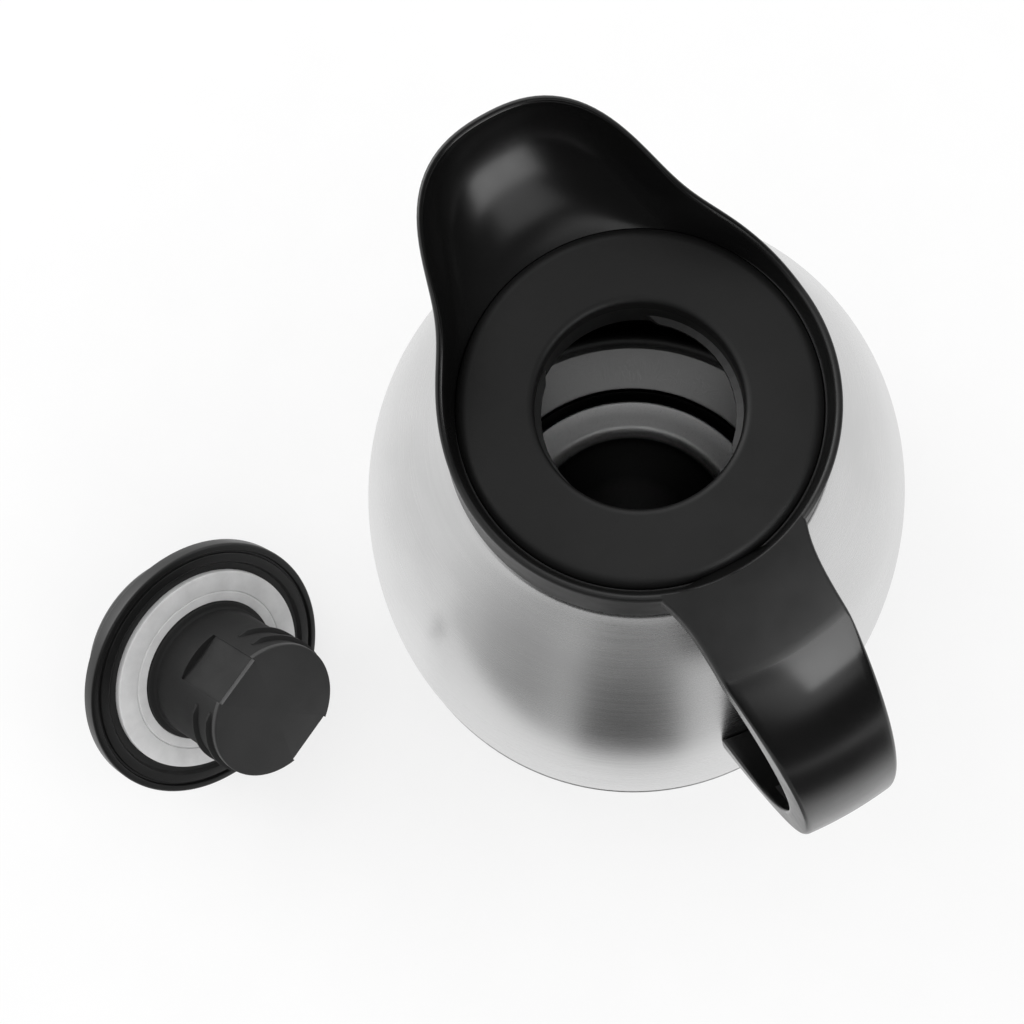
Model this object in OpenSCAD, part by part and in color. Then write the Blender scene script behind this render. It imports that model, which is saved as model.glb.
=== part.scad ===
// Vacuum jug with a broad pouring spout, a strap handle and a screw stopper that lies beside it.
// The origin is the middle of the base, the handle points along +X and the spout along -X.

/* [Steel flask] */
// Radius of the steel body at its foot
base_r = 77.2; // [75:0.2:80]
// Height at which the steel shoulder runs in under the collar
shoulder_z = 190; // [186:1:196]
// How far the side leans in between the foot and the collar
belly_drop = 21.6; // [20:0.2:23]
// How much more the shoulder rounds in near its top
shoulder_drop = 12.6; // [11:0.2:13.4]
// Thickness of the steel sheet
steel_t = 0.8; // [0.6:0.1:1.2]
// Gap between the outer shell and the inner vessel, which holds the vacuum
vacuum_gap = 8; // [6:0.5:9]
// Outer radius of the neck
neck_r = 30; // [29:0.2:31]
// Height of the neck above the top of the shoulder
neck_h = 5.7; // [5.2:0.1:7.5]

/* [Inside bottom] */
// Height of the middle of the inner vessel's floor
floor_z = 14; // [12:0.5:16]
// Radius of the pressed middle of the floor
floor_eye_r = 33.5; // [30:0.5:36]
// Radius at which the ring groove in the floor begins
groove_r = 43.5; // [40:0.5:46]
// Width of the ring groove
groove_w = 3.6; // [3:0.2:4.6]
// Depth of the ring groove
groove_h = 1.2; // [0.9:0.1:1.6]
// Radius of the corner where the floor turns up into the side
floor_corner_r = 8; // [6:0.5:10]

/* [Foot] */
// Thickness of the non-slip pad
pad_t = 1.2; // [0.8:0.1:2]
// Radius of the non-slip pad
pad_r = 68; // [60:1:72]
// Height of the rolled rim of the base plate
rim_roll_h = 4; // [3:0.2:5]
// Seam between the base plate and the outer shell
seam = 0.4; // [0.3:0.1:0.6]

/* [Collar and spout] */
// Outer radius of the collar at its rim
collar_r = 41.8; // [41.4:0.1:43]
// How far inside the top of the steel shoulder the collar's foot lands
skirt_in = 0.6; // [0.4:0.1:1]
// Height of the rim above the seat
rim_h = 3; // [2:0.2:4]
// How far the spout's tip stands out from the collar's rim
lip_reach = 22; // [18:0.5:24]
// Angle from the spout's middle within which the rim swells out
lip_spread = 31; // [27:0.5:34]
// Height of the spout tip above the rim
spout_rise = 19; // [14:0.5:22]
// Angle from the spout's middle at which the rim is level again
spout_reach = 85; // [75:1:95]
// Thickness of the lip
lip_t = 1.7; // [1.4:0.1:2.2]

/* [Seat and mouth] */
// Radius of the mouth through the seat
mouth_r = 22; // [21.4:0.1:23]
// Thickness of the seat
seat_t = 5; // [4:0.2:6]
// Outer radius of the seat
seat_r = 38.5; // [37.6:0.1:38.8]
// Rounding of the seat's outer edge
seat_round = 2.2; // [1.4:0.1:2.6]
// Play between moulded pieces
play = 0.2; // [0.15:0.05:0.3]
// Thickness of the neck gasket
gasket_t = 1.4; // [1:0.1:1.8]
// Thickness of the thread ring's flange
ring_flange_t = 1.6; // [1.2:0.1:2]
// Depth of the thread ring inside the neck
ring_h = 9; // [8:0.5:12]

/* [Handle] */
// Width of the strap where it leaves the flat top
strap_w = 29.4; // [26:0.2:31]
// Width of the strap at its lowest bend
strap_end_w = 22; // [21.4:0.2:26]
// Extra width of the handle's root on each side
root_flare = 1.2; // [0.6:0.2:3]
// Radius at which the flat top ends and the strap bends down
crease_r = 60; // [57:0.5:63]
// Distance from the axis to the outside of the strap
reach = 96.6; // [95:0.2:102]
// Height of the outermost point of the strap
reach_z = 148; // [144:1:150]
// Thickness of the strap
strap_t = 6.8; // [6:0.2:7.4]
// Height of the middle of the lower end
heel_z = 110; // [106:1:114]
// Thickness of the lower end where it meets the steel
heel_t = 12; // [10:0.5:14]
// Thickness of the liner in the strap's inner side
liner_t = 2; // [1.6:0.1:2.4]
// Width of the liner
liner_w = 18; // [15:0.5:19]

/* [Stopper] */
// Radius of the stopper's flange
flange_r = 40; // [39.4:0.1:40.2]
// Thickness of the flange at its edge
flange_t = 4.5; // [4:0.1:5.2]
// Length of the plug from the underside of the flange to its end
plug_len = 33.5; // [31:0.5:36]
// Radius of the plug
plug_r = 20.4; // [20:0.1:20.7]
// Height of the thread ridges
thread_h = 0.9; // [0.6:0.1:1]
// Distance between the two thread ridges
thread_gap = 6.5; // [5.5:0.1:7.5]
// Rise of the thread in one turn
thread_lead = 9; // [6:0.5:12]
// Width of the pouring channels in the plug
channel_w = 15.5; // [13:0.5:17]
// Length of the pouring channels
channel_len = 20; // [17:0.5:22]
// Distance from the plug's axis to the floor of a channel
channel_r = 17.8; // [17.5:0.1:18.6]
// Wall of the plug
plug_wall = 1.8; // [1.4:0.1:2.1]
// Outer radius of the silicone seal
seal_r = 31.5; // [30.5:0.1:32]
// Thickness of the silicone seal
seal_t = 1.9; // [1.5:0.1:2.4]

/* [Stopper knob] */
// Radius of the knob
knob_r = 32; // [30:0.5:33]
// Height of the knob above the flange
knob_h = 14; // [12:0.5:15]
// Rounding of the knob's top edge
knob_round = 4; // [3:0.5:4.5]
// Wall of the knob
knob_wall = 2.2; // [1.8:0.1:2.6]
// Width of the grip bar
grip_w = 10; // [8:0.5:12]
// Depth of the finger wells
well_h = 8; // [6:0.5:9]
// Radius of the finger wells
well_r = 24; // [21:0.5:26]
// Radius of the screw that holds the stopper together
screw_r = 2; // [1.6:0.1:2.2]

/* [Stopper resting place] */
// Place of the flange along X
stopper_x = -27.1; // [-45:0.1:-20]
// Place of the flange along Y
stopper_y = -131.2; // [-150:0.1:-128]
// Compass direction in which the plug points
stopper_turn = 30.6; // [0:0.1:60]
// Turn of the pouring channels about the plug's axis
plug_turn = -7.5; // [-20:0.5:20]

/* [Hidden] */
$fn = 96;

steel = "silver";
black = "#1d1d1f";

// Curves and sheets
function bez(a, b, c, d, n) = [for (i = [0:n]) let (t = i / n)
    pow(1 - t, 3) * a + 3 * t * pow(1 - t, 2) * b + 3 * t * t * (1 - t) * c + pow(t, 3) * d];
function unit(v) = v / norm(v);
function left(v) = [-v[1], v[0]];
function corner(p, i, t) = let (
    a = i > 0 ? unit(p[i] - p[i - 1]) : unit(p[i + 1] - p[i]),
    b = i < len(p) - 1 ? unit(p[i + 1] - p[i]) : a,
    n = unit(left(a) + left(b)),
    q = p[i] + t * n / max(0.5, n * left(a))) [max(0, q[0]), q[1]];
function beside(p, t) = [for (i = [0:len(p) - 1]) corner(p, i, t)];
function backward(p) = [for (i = [len(p) - 1:-1:0]) p[i]];
function rest(p) = [for (i = [1:len(p) - 1]) p[i]];
function sheet(p, t) = concat(p, backward(beside(p, t)));
function arc(c, r, a0, a1, n) = [for (i = [0:n]) let (a = a0 + (a1 - a0) * i / n)
    c + r * [cos(a), sin(a)]];

// Heights that follow from the pieces stacked on the floor and on the shoulder
plate_z = pad_t + steel_t;
shell_z = pad_t + rim_roll_h + seam;
jacket_z = shell_z + 3;
neck_z = shoulder_z + 3.5;
lip_z = neck_z + neck_h;
gasket_z = lip_z + steel_t;
ring_z = gasket_z + gasket_t;
seat_z = ring_z + ring_flange_t;
deck_z = seat_z + seat_t;
rim_z = deck_z + rim_h;

// The bell profile of the body, and the shoulder that runs in to the neck
function body_r(z) = base_r - belly_drop * pow(z / shoulder_z, 2)
    - shoulder_drop * pow(z / shoulder_z, 8);
foot_round = 1.6;
side_steps = 26;
shoulder_pull = 7;
shoulder_curve = bez([body_r(shoulder_z), shoulder_z], [body_r(shoulder_z) - 1.4, shoulder_z + 1.9],
    [neck_r + shoulder_pull, neck_z], [neck_r, neck_z], 8);
function side(z0, z1, inset, n) = [for (i = [0:n]) let (z = z0 + (z1 - z0) * i / n)
    [body_r(z) - inset, z]];
outer_profile = concat(
    [[body_r(shell_z) - foot_round, shell_z]],
    side(shell_z + foot_round, shoulder_z, 0, side_steps),
    rest(shoulder_curve),
    [[neck_r, lip_z]]);

module outer_shell() {
    color(steel) rotate_extrude() polygon(sheet(outer_profile, steel_t));
}

// The inner vessel hangs from the neck: side, shoulder and a lip that lies on the shell.
// Its pressed floor is a disc of its own, welded to the side's turned-in edge.
inset = steel_t + vacuum_gap + steel_t;
inner_neck_r = neck_r - steel_t - 2 - steel_t;
dish = 400;
eye_dish = 230;
function eye_z(r) = floor_z + r * r / eye_dish;
function dish_z(r) = eye_z(floor_eye_r) + (r * r - floor_eye_r * floor_eye_r) / dish;
floor_steps = 6;
groove_out = groove_r + groove_w;
groove_lean = 0.2;
floor_edge_r = body_r(floor_z + floor_corner_r) - inset - floor_corner_r;
inner_top_z = shoulder_z - vacuum_gap;
weld_gap = 0.3;
floor_profile = concat(
    [for (i = [0:floor_steps]) let (r = floor_eye_r * i / floor_steps) [r, eye_z(r)]],
    [[groove_r, dish_z(groove_r)],
     [groove_r + groove_lean, dish_z(groove_r) - groove_h],
     [groove_out - groove_lean, dish_z(groove_r) - groove_h],
     [groove_out, dish_z(groove_out)],
     [floor_edge_r, dish_z(floor_edge_r)]]);
inner_profile = concat(
    [[floor_edge_r + weld_gap, dish_z(floor_edge_r)]],
    arc([floor_edge_r, dish_z(floor_edge_r) + floor_corner_r], floor_corner_r, -80, -8, 6),
    side(dish_z(floor_edge_r) + floor_corner_r + 2, inner_top_z - 12, inset, 20),
    bez([body_r(inner_top_z - 6) - inset, inner_top_z - 6],
        [body_r(inner_top_z - 6) - inset - 8, inner_top_z + 4],
        [inner_neck_r, inner_top_z + 1], [inner_neck_r, inner_top_z + 9], 8),
    [[inner_neck_r, lip_z + steel_t], [neck_r, lip_z + steel_t]]);

module vessel_floor() {
    color(steel) rotate_extrude() polygon(sheet(floor_profile, -steel_t));
}

module inner_vessel() {
    color(steel) rotate_extrude() polygon(sheet(inner_profile, -steel_t));
}

// Foil round the side of the inner vessel, inside the vacuum
foil_t = 0.3;
module foil_wrap() {
    z0 = dish_z(floor_edge_r) + floor_corner_r + 8;
    color("gainsboro") rotate_extrude()
        polygon(sheet(side(z0, inner_top_z - 30, inset - steel_t - foil_t, 16), -foil_t));
}

// Bottom of the vacuum jacket, welded inside the shell, with its pump-out hole
port_r = 3;
jacket_r = body_r(jacket_z + steel_t) - steel_t - play / 2;
foot_in_r = body_r(shell_z) - foot_round - steel_t;
module jacket_bottom() {
    color(steel) rotate_extrude() polygon([
        [port_r, jacket_z], [jacket_r - steel_t, jacket_z],
        [jacket_r - steel_t, shell_z + foot_round + 0.6], [jacket_r, shell_z + foot_round + 0.6],
        [jacket_r, jacket_z + steel_t], [port_r, jacket_z + steel_t]]);
}

module vacuum_port_seal() {
    color("dimgray") rotate_extrude() polygon([
        [0, jacket_z - 1.2], [port_r * 2, jacket_z - 1.2], [port_r * 2, jacket_z],
        [port_r - play / 4, jacket_z], [port_r - play / 4, jacket_z + steel_t],
        [0, jacket_z + steel_t]]);
}

// Getter pill that keeps the vacuum clean
module getter() {
    color("slategray") translate([base_r / 2, 0, jacket_z + steel_t]) cylinder(r = 5, h = 2);
}

// Base plate with a rolled rim that shows as a thin line under the body
module base_plate() {
    rim_top = pad_t + rim_roll_h;
    outside = body_r(shell_z) + 0.3;
    color(steel) rotate_extrude() union() {
        polygon([[0, pad_t], [outside - 1.6, pad_t], [outside, pad_t + 1.6], [outside, rim_top - 0.5],
            [outside - 0.5, rim_top], [outside - steel_t * 2, rim_top],
            [outside - steel_t * 2, plate_z], [0, plate_z]]);
        translate([foot_in_r - play - 1, plate_z - 0.1]) square([1, jacket_z - plate_z + 0.1]);
    }
}

module base_pad() {
    color(black) rotate_extrude()
        polygon([[0, 0], [pad_r - 0.6, 0], [pad_r, 0.6], [pad_r, pad_t], [0, pad_t]]);
}

// Gasket between the flask's lip and the thread ring
module neck_gasket() {
    color("lightgray") translate([0, 0, gasket_z]) difference() {
        cylinder(r = neck_r, h = gasket_t);
        translate([0, 0, -1]) cylinder(r = inner_neck_r + 0.4, h = gasket_t + 2);
    }
}

// Thread of the mouth: the same interrupted two-start helix serves the ring and the plug
thread_span = 112;
thread_base = 2.4;
thread_top = 1;
thread_steps = 14;
thread_sink = 0.5;
module ridge(root, crest, z_mid, start) {
    step = thread_span / thread_steps;
    last = thread_steps;
    // Cross-section corners: root low, crest low, crest high, root high
    pts = [for (i = [0:last]) let (
            a = start + i * step,
            z = z_mid - thread_lead * (i - last / 2) * step / 360,
            fade = i == 0 || i == last ? 0.35 : 1,
            c = root + (crest - root) * fade)
        each [[root * cos(a), root * sin(a), z - thread_base / 2],
              [c * cos(a), c * sin(a), z - thread_top / 2],
              [c * cos(a), c * sin(a), z + thread_top / 2],
              [root * cos(a), root * sin(a), z + thread_base / 2]]];
    sides = [for (i = [0:last - 1]) for (k = [0:3]) let (
            p = 4 * i + k, q = 4 * i + (k + 1) % 4)
        each [[p, q, q + 4], [p, q + 4, p + 4]]];
    polyhedron(pts, crest > root ? concat(sides, [[3, 2, 1, 0],
        [4 * last, 4 * last + 1, 4 * last + 2, 4 * last + 3]])
        : concat([for (f = sides) [f[2], f[1], f[0]]], [[0, 1, 2, 3],
        [4 * last + 3, 4 * last + 2, 4 * last + 1, 4 * last]]));
}

// Ring that carries the mouth's thread, clamped between the gasket and the seat
ring_in = mouth_r + 0.3;
ring_out = inner_neck_r - play;
module thread_ring() {
    color(black) {
        rotate_extrude() polygon([
            [ring_in, ring_z - ring_h], [ring_out, ring_z - ring_h], [ring_out, ring_z],
            [neck_r, ring_z], [neck_r, seat_z], [ring_in, seat_z]]);
        for (turn = [0, 180]) ridge(ring_in + thread_sink, plug_r + thread_h / 2,
            ring_z - ring_h / 2, turn + 34);
    }
}

// Soft ring that lies on the steel shoulder inside the collar's skirt
skirt_t = 1.9;
skirt_r = body_r(shoulder_z) - skirt_in;
skirt_z = shoulder_z + 1;
module shoulder_seal() {
    under = [for (i = [3:5]) shoulder_curve[i] + [0, 0.1]];
    top = under[2][1] + 2;
    color("#2a2a2c") rotate_extrude()
        polygon(concat([[under[2][0], top], [under[0][0] - 0.4, top]], under));
}

// Plan of the collar's rim: a circle that swells out into a broad lip with hollow flanks
function rim_plan(a) = collar_r + lip_reach * exp(-pow(abs(a) / lip_spread, 3));
// Share of the spout's rise at an angle from its middle
function rise(a) = abs(a) < spout_reach
    ? pow(0.5 + 0.5 * cos(180 * a / spout_reach), 0.75) : 0;
function rim_top(a) = rim_z + spout_rise * rise(a);

// One section of the collar: hub, web, skirt, outer wall, lip, basin and the seat's pocket
hub_in = neck_r + play;
hub_out = neck_r + 4;
hub_z = neck_z + 1;
web_z = seat_z - 3.4;
pocket_r = seat_r + play;
basin_z = deck_z - 1.7;
wall_steps = 5;
basin_steps = 7;
basin_straight = 0.35;
wall_bulge = 0.15;
function wall_at(a, t) = [
    skirt_r + (rim_plan(a) - skirt_r) * (t + wall_bulge * sin(180 * t)),
    skirt_z + (rim_top(a) - 0.9 - skirt_z) * t];
function basin_at(a, u) = let (
        from = [rim_plan(a) - lip_t + 0.1, rim_top(a) - 0.8],
        to = [pocket_r, basin_z],
        k = basin_straight * rise(a))
    [to[0] + (from[0] - to[0]) * ((1 - k) * cos(90 * u) + k * (1 - u)),
     to[1] + (from[1] - to[1]) * ((1 - k) * (1 - sin(90 * u)) + k * (1 - u))];
web_r = wall_at(180, (web_z - skirt_z) / (rim_z - 0.9 - skirt_z))[0] - skirt_t;
function collar_section(a) = concat(
    [[hub_in, seat_z], [hub_in, hub_z], [hub_out, hub_z], [hub_out, web_z],
     [web_r, web_z], [skirt_r - skirt_t, skirt_z + 1.3], [skirt_r, skirt_z]],
    [for (i = [1:wall_steps]) wall_at(a, i / wall_steps)],
    [[rim_plan(a) - 0.25, rim_top(a) - 0.3], [rim_plan(a) - 0.75, rim_top(a)],
     [rim_plan(a) - lip_t + 0.5, rim_top(a) - 0.15]],
    [for (i = [0:basin_steps]) basin_at(a, i / basin_steps)],
    [[pocket_r, seat_z]]);
collar_steps = 72;
module collar() {
    m = len(collar_section(0));
    pts = [for (i = [0:collar_steps - 1]) let (turn = 360 * i / collar_steps,
            a = turn > 180 ? turn - 360 : turn)
        for (p = collar_section(a)) [-p[0] * cos(turn), -p[0] * sin(turn), p[1]]];
    faces = [for (i = [0:collar_steps - 1]) for (j = [0:m - 1]) let (
            p = i * m + j, q = i * m + (j + 1) % m,
            r = ((i + 1) % collar_steps) * m + j, s = ((i + 1) % collar_steps) * m + (j + 1) % m)
        each [[p, r, s], [p, s, q]]];
    color(black) polyhedron(pts, faces);
}

// Flat seat round the mouth, let into the collar, with rounded edges
module seat() {
    rr = seat_round;
    color("#242426") rotate_extrude() union() {
        polygon(concat(
            [[mouth_r, seat_z], [seat_r, seat_z]],
            arc([seat_r - rr, deck_z - rr], rr, 0, 90, 6),
            arc([mouth_r + 1, deck_z - 1], 1, 90, 180, 5)));
    }
}

// Side view of the handle: flat top, strap and heel, each curve from one end to the other
root_t = 7.5;
heel_low = heel_z - heel_t / 2;
heel_high = heel_z + heel_t / 2;
heel_play = 0.3;
function heel_r(z) = body_r(z) + heel_play;
strap_in_r = reach - strap_t;
crease_drop = 4;
strap_out = concat(
    bez([crease_r, rim_z], [crease_r + 20, rim_z - crease_drop], [reach, rim_z - 22],
        [reach, reach_z], 14),
    rest(bez([reach, reach_z], [reach, reach_z - 20], [reach - 12, heel_low + 9],
        [heel_r(heel_low), heel_low], 10)));
strap_in = concat(
    bez([heel_r(heel_high), heel_high], [heel_r(heel_high) + 13, heel_high + 3],
        [strap_in_r, reach_z - 23], [strap_in_r, reach_z], 10),
    rest(bez([strap_in_r, reach_z], [strap_in_r, rim_z - 32], [crease_r + 14, rim_z - 12],
        [crease_r - 2, rim_z - root_t], 12)));
root_low_r = wall_at(180, (rim_z - root_t - skirt_z) / (rim_z - 0.9 - skirt_z))[0] + play;
root_high_r = collar_r + play;

// Plan of the handle: flared root, even strap, slightly narrower end
flare_len = crease_r - collar_r;
function half_w(x) = let (u = max(0, 1 - (x - collar_r) / flare_len))
    root_flare * pow(u, 3.8) + strap_w / 2
    - (strap_w - strap_end_w) / 2 * max(0, (x - crease_r) / (reach - crease_r));
plan_x = [for (x = [collar_r - 4, each [for (i = [0:8]) collar_r + flare_len * i / 8],
    crease_r + 14, reach - 12, reach + 2]) x];
module strap_plan(trim) {
    linear_extrude(height = rim_z + 5) polygon(concat(
        [for (x = plan_x) [x, trim - half_w(x)]],
        [for (x = backward(plan_x)) [x, half_w(x) - trim]]));
}

// Band along the inner side of the strap, for the liner and for its pocket
liner_skip = 5;
liner_path = [for (i = [liner_skip:len(strap_in) - liner_skip]) strap_in[i]];
module liner_band(extra) {
    intersection() {
        rotate_extrude() polygon(concat(beside(liner_path, extra > 0 ? 1 : 0),
            backward(beside(liner_path, -liner_t - extra))));
        translate([0, -liner_w / 2 - extra, 0]) cube([reach + 10, liner_w + 2 * extra, rim_z + 5]);
    }
}

// Tongue of the bracket and its screw, which pass into the heel
tongue_w = 10;
tongue_t = 2.4;
tongue_z = heel_z + 0.3;
tongue_end = heel_r(heel_z) + 10;
heel_screw_x = heel_r(heel_z) + 5.5;
heel_screw_r = 1.6;
heel_screw_h = 4.6;
heel_head_r = 3;
heel_head_z = tongue_z - 1.9;
module handle() {
    color(black) difference() {
        intersection() {
            rotate_extrude() polygon(concat([[root_high_r, rim_z]], strap_out, strap_in,
                [[root_low_r, rim_z - root_t]]));
            strap_plan(0);
        }
        liner_band(play);
        translate([0, -tongue_w / 2 - play, tongue_z - play])
            cube([tongue_end + play, tongue_w + 2 * play, tongue_t + 2 * play]);
        translate([heel_screw_x, 0, heel_head_z - 1]) cylinder(r = heel_screw_r, h = heel_screw_h + 1.2);
        translate([heel_screw_x, 0, 0]) cylinder(r = heel_head_r + play, h = heel_head_z);
    }
}

module handle_liner() {
    color("#29292b") liner_band(0);
}

// Bracket welded to the shell: a curved saddle and a drilled tongue
module heel_bracket() {
    saddle_h = 7;
    saddle_w = 9;
    color(steel) difference() {
        union() {
            intersection() {
                rotate_extrude() polygon(sheet(
                    [for (z = [heel_z - saddle_h / 2, heel_z, heel_z + saddle_h / 2]) [body_r(z), z]],
                    -heel_play + play / 4));
                translate([0, -saddle_w / 2, 0]) cube([reach, saddle_w, rim_z]);
            }
            translate([body_r(heel_z) + 0.1, -tongue_w / 2, tongue_z])
                cube([tongue_end - body_r(heel_z) - 0.1, tongue_w, tongue_t]);
        }
        translate([heel_screw_x, 0, tongue_z - 1]) cylinder(r = heel_screw_r + play / 2, h = tongue_t + 2);
    }
}

module heel_screw() {
    color(steel) translate([heel_screw_x, 0, heel_head_z]) difference() {
        union() {
            translate([0, 0, -2]) cylinder(r = heel_head_r, h = 2);
            cylinder(r = heel_screw_r, h = heel_screw_h);
        }
        for (turn = [0, 90]) rotate(turn) translate([-1.8, -0.4, -2.5]) cube([3.6, 0.8, 1.5]);
    }
}

// The stopper lies on the edge of its flange and the rounding of its knob.
// In its own frame the plug points along +Z and the flange's underside is at zero.
knob_c = [knob_r - knob_round, flange_t + knob_h - knob_round];
rest_run = knob_c - [flange_r, flange_t];
rest_slope = atan2(-rest_run[0], rest_run[1]) - asin(knob_round / norm(rest_run));
stopper_tilt = 90 - rest_slope;
stopper_z = flange_r * cos(rest_slope) + flange_t * sin(rest_slope);
module laid() {
    translate([stopper_x, stopper_y, stopper_z]) rotate([0, stopper_tilt, stopper_turn]) children();
}

// Flange with the stepped rings of its underside
step_z = 1.2;
boss_r = 5;
module stopper_flange() {
    color(black) laid() rotate_extrude() polygon([
        [boss_r + play, -flange_t], [flange_r - 0.8, -flange_t], [flange_r, -flange_t + 0.25],
        [flange_r, -0.7], [flange_r - 0.7, 0], [flange_r - 1.9, 0], [flange_r - 2.2, -0.8],
        [flange_r - 2.8, -0.8], [flange_r - 3, -0.2], [flange_r - 4.6, 0], [flange_r - 6, -0.3],
        [flange_r - 6.4, -step_z], [boss_r + play, -step_z]]);
}

// Soft seal that closes on the seat
seal_in = plug_r + 1.8;
module stopper_seal() {
    line_r = seal_r - 6.4;
    top = seal_t - step_z;
    color("gainsboro") laid() rotate_extrude() polygon([
        [seal_in, -step_z], [seal_r, -step_z], [seal_r, top - 0.5], [seal_r - 0.5, top],
        [line_r + 0.25, top], [line_r + 0.15, top - 0.3], [line_r - 0.15, top - 0.3],
        [line_r - 0.25, top - 0.1], [seal_in, top - 0.1]]);
}

// Plug: a cup with a root collar, two pouring channels and a two-ridge thread in two spans
end_t = 1.6;
plug_top = plug_len - end_t;
cup_r = channel_r - plug_wall;
cup_z = 1.4;
module channels(from) {
    for (turn = [0, 180]) rotate(turn + plug_turn)
        translate([channel_r, -channel_w / 2, from]) cube([plug_r, channel_w, plug_len]);
}
module stopper_plug() {
    color(black) laid() difference() {
        union() {
            rotate_extrude() polygon([
                [screw_r + play, -step_z], [seal_in - play, -step_z], [seal_in - play, 1.6],
                [plug_r + 0.4, 2.2], [plug_r - 0.3, 2.6], [plug_r - 0.3, plug_top],
                [cup_r, plug_top], [cup_r, cup_z], [screw_r + play, cup_z]]);
            for (turn = [0, 180]) for (k = [0, 1])
                ridge(plug_r - 0.3 - thread_sink, plug_r + thread_h, plug_top - 3.2 - k * thread_gap,
                    turn + plug_turn + 90 - thread_span / 2);
        }
        channels(plug_len - channel_len);
    }
}

// Disc that closes the end of the plug
module plug_end() {
    color("#262628") laid() difference() {
        rotate_extrude() union() {
            polygon([[0, plug_top], [plug_r, plug_top], [plug_r, plug_len - 0.5],
                [plug_r - 0.5, plug_len], [0, plug_len]]);
            translate([cup_r - play - 1.4, plug_top - 2.4]) square([1.4, 2.5]);
        }
        channels(plug_top - 1);
    }
}

// Foam that fills the plug
module plug_foam() {
    color("ivory") laid() translate([0, 0, cup_z + 2.6])
        cylinder(r = cup_r - play - 1.6, h = plug_top - cup_z - 2.6);
}

// Knob: a shell with a dished top, two finger wells and the grip bar between them
well_floor = flange_t + knob_h - well_h;
module knob_skin(inset) {
    c = knob_round - inset;
    rotate_extrude() polygon(concat(
        [[0, -flange_t - (inset > 0 ? -1 : 0)], [knob_r - inset, -flange_t - (inset > 0 ? -1 : 0)]],
        arc([knob_c[0], -knob_c[1]], max(0.5, c), 0, -90, 7),
        [[0, -knob_c[1] - max(0.5, c)]]));
}
module well(r, z) {
    difference() {
        translate([0, 0, -z - 30]) cylinder(r = r, h = 30);
        translate([-r, -grip_w / 2 + (r - well_r), -z - 31])
            cube([2 * r, grip_w - 2 * (r - well_r), 32]);
    }
}
module stopper_knob() {
    color(black) laid() difference() {
        union() {
            difference() {
                knob_skin(0);
                difference() {
                    knob_skin(knob_wall);
                    well(well_r + knob_wall, well_floor - knob_wall);
                }
            }
            translate([0, 0, -well_floor]) cylinder(r = boss_r, h = well_floor - step_z);
        }
        well(well_r, well_floor);
        translate([0, 0, -step_z - 6]) cylinder(r = screw_r + play / 4, h = 8);
    }
}

// Screw that pulls the plug and the knob together through the flange
module knob_screw() {
    color(steel) laid() difference() {
        union() {
            translate([0, 0, -step_z - 5.5]) cylinder(r = screw_r, h = step_z + 5.5 + cup_z + 0.5);
            translate([0, 0, cup_z + 0.5]) cylinder(r = 3.6, h = 1.9);
        }
        for (turn = [0, 90]) rotate(turn) translate([-2, -0.4, cup_z + 1.2]) cube([4, 0.8, 2]);
    }
}

module knob_washer() {
    color("darkgray") laid() translate([0, 0, cup_z]) difference() {
        cylinder(r = 4.6, h = 0.5);
        translate([0, 0, -1]) cylinder(r = screw_r + play, h = 3);
    }
}

base_pad();
base_plate();
vacuum_port_seal();
jacket_bottom();
getter();
outer_shell();
foil_wrap();
vessel_floor();
inner_vessel();
neck_gasket();
thread_ring();
shoulder_seal();
collar();
seat();
handle();
handle_liner();
heel_bracket();
heel_screw();
stopper_flange();
stopper_seal();
stopper_plug();
plug_foam();
plug_end();
stopper_knob();
knob_screw();
knob_washer();
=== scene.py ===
# Looks of the vacuum jug and its screw stopper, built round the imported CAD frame.
# Lengths in the shape helpers are millimetres in the part's frame; meshes are stored in metres.
import math

import bmesh
import bpy
from mathutils import Matrix, Vector


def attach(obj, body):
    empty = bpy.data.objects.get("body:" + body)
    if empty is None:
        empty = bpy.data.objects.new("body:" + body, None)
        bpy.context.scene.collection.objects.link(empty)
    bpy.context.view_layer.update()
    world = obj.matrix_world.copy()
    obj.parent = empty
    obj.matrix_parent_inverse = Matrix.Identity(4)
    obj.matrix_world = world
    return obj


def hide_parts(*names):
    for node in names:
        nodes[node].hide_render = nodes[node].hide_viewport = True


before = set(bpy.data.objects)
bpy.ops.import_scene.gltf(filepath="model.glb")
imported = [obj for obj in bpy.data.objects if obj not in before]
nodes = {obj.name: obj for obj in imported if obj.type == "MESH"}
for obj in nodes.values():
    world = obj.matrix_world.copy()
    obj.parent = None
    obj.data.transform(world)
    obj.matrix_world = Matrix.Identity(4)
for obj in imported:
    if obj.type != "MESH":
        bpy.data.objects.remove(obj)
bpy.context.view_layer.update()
MM = 0.001


# Shape helpers
def bez(a, b, c, d, n, skip=False):
    pts = []
    for i in range(1 if skip else 0, n + 1):
        t = i / n
        k = ((1 - t) ** 3, 3 * t * (1 - t) ** 2, 3 * t * t * (1 - t), t ** 3)
        pts.append(tuple(sum(w * p[j] for w, p in zip(k, (a, b, c, d))) for j in range(2)))
    return pts


def arc(cx, cz, rx, rz, a0, a1, n):
    return [(cx + rx * math.cos(math.radians(a0 + (a1 - a0) * i / n)),
             cz + rz * math.sin(math.radians(a0 + (a1 - a0) * i / n))) for i in range(n + 1)]


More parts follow.
